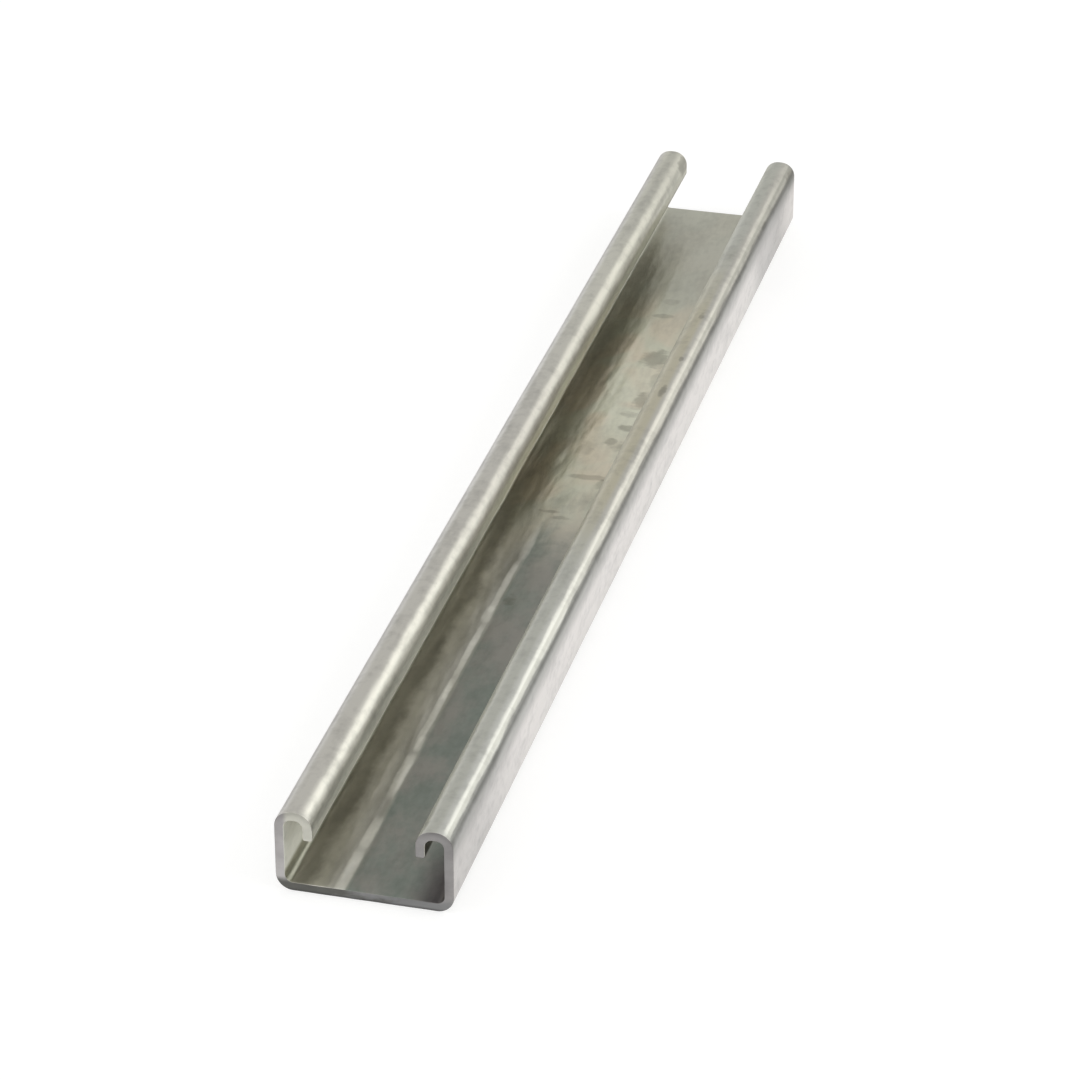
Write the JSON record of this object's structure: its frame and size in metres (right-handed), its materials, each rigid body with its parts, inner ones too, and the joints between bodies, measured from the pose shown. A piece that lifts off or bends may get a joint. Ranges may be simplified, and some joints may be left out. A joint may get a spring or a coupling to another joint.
{
  "type": "strut channel",
  "caption": "Short length of plain lipped C strut channel in galvanized steel, lying on its back, with an open slot between inturned lips for channel nuts.",
  "frame": {"origin": "middle of the back face, which is the middle of the underside as the channel lies on its back", "axes": "+X across the channel, +Y along its length, +Z out of the open slot between the lips"},
  "size_m": [0.0412, 0.375, 0.0206],
  "materials": {
    "galvanized_steel": "bright zinc-coated rolled steel, satin, with spangle and rolling streaks"
  },
  "bodies": {
    "root": {"strut_channel": "galvanized_steel"}
  },
  "joints": []
}
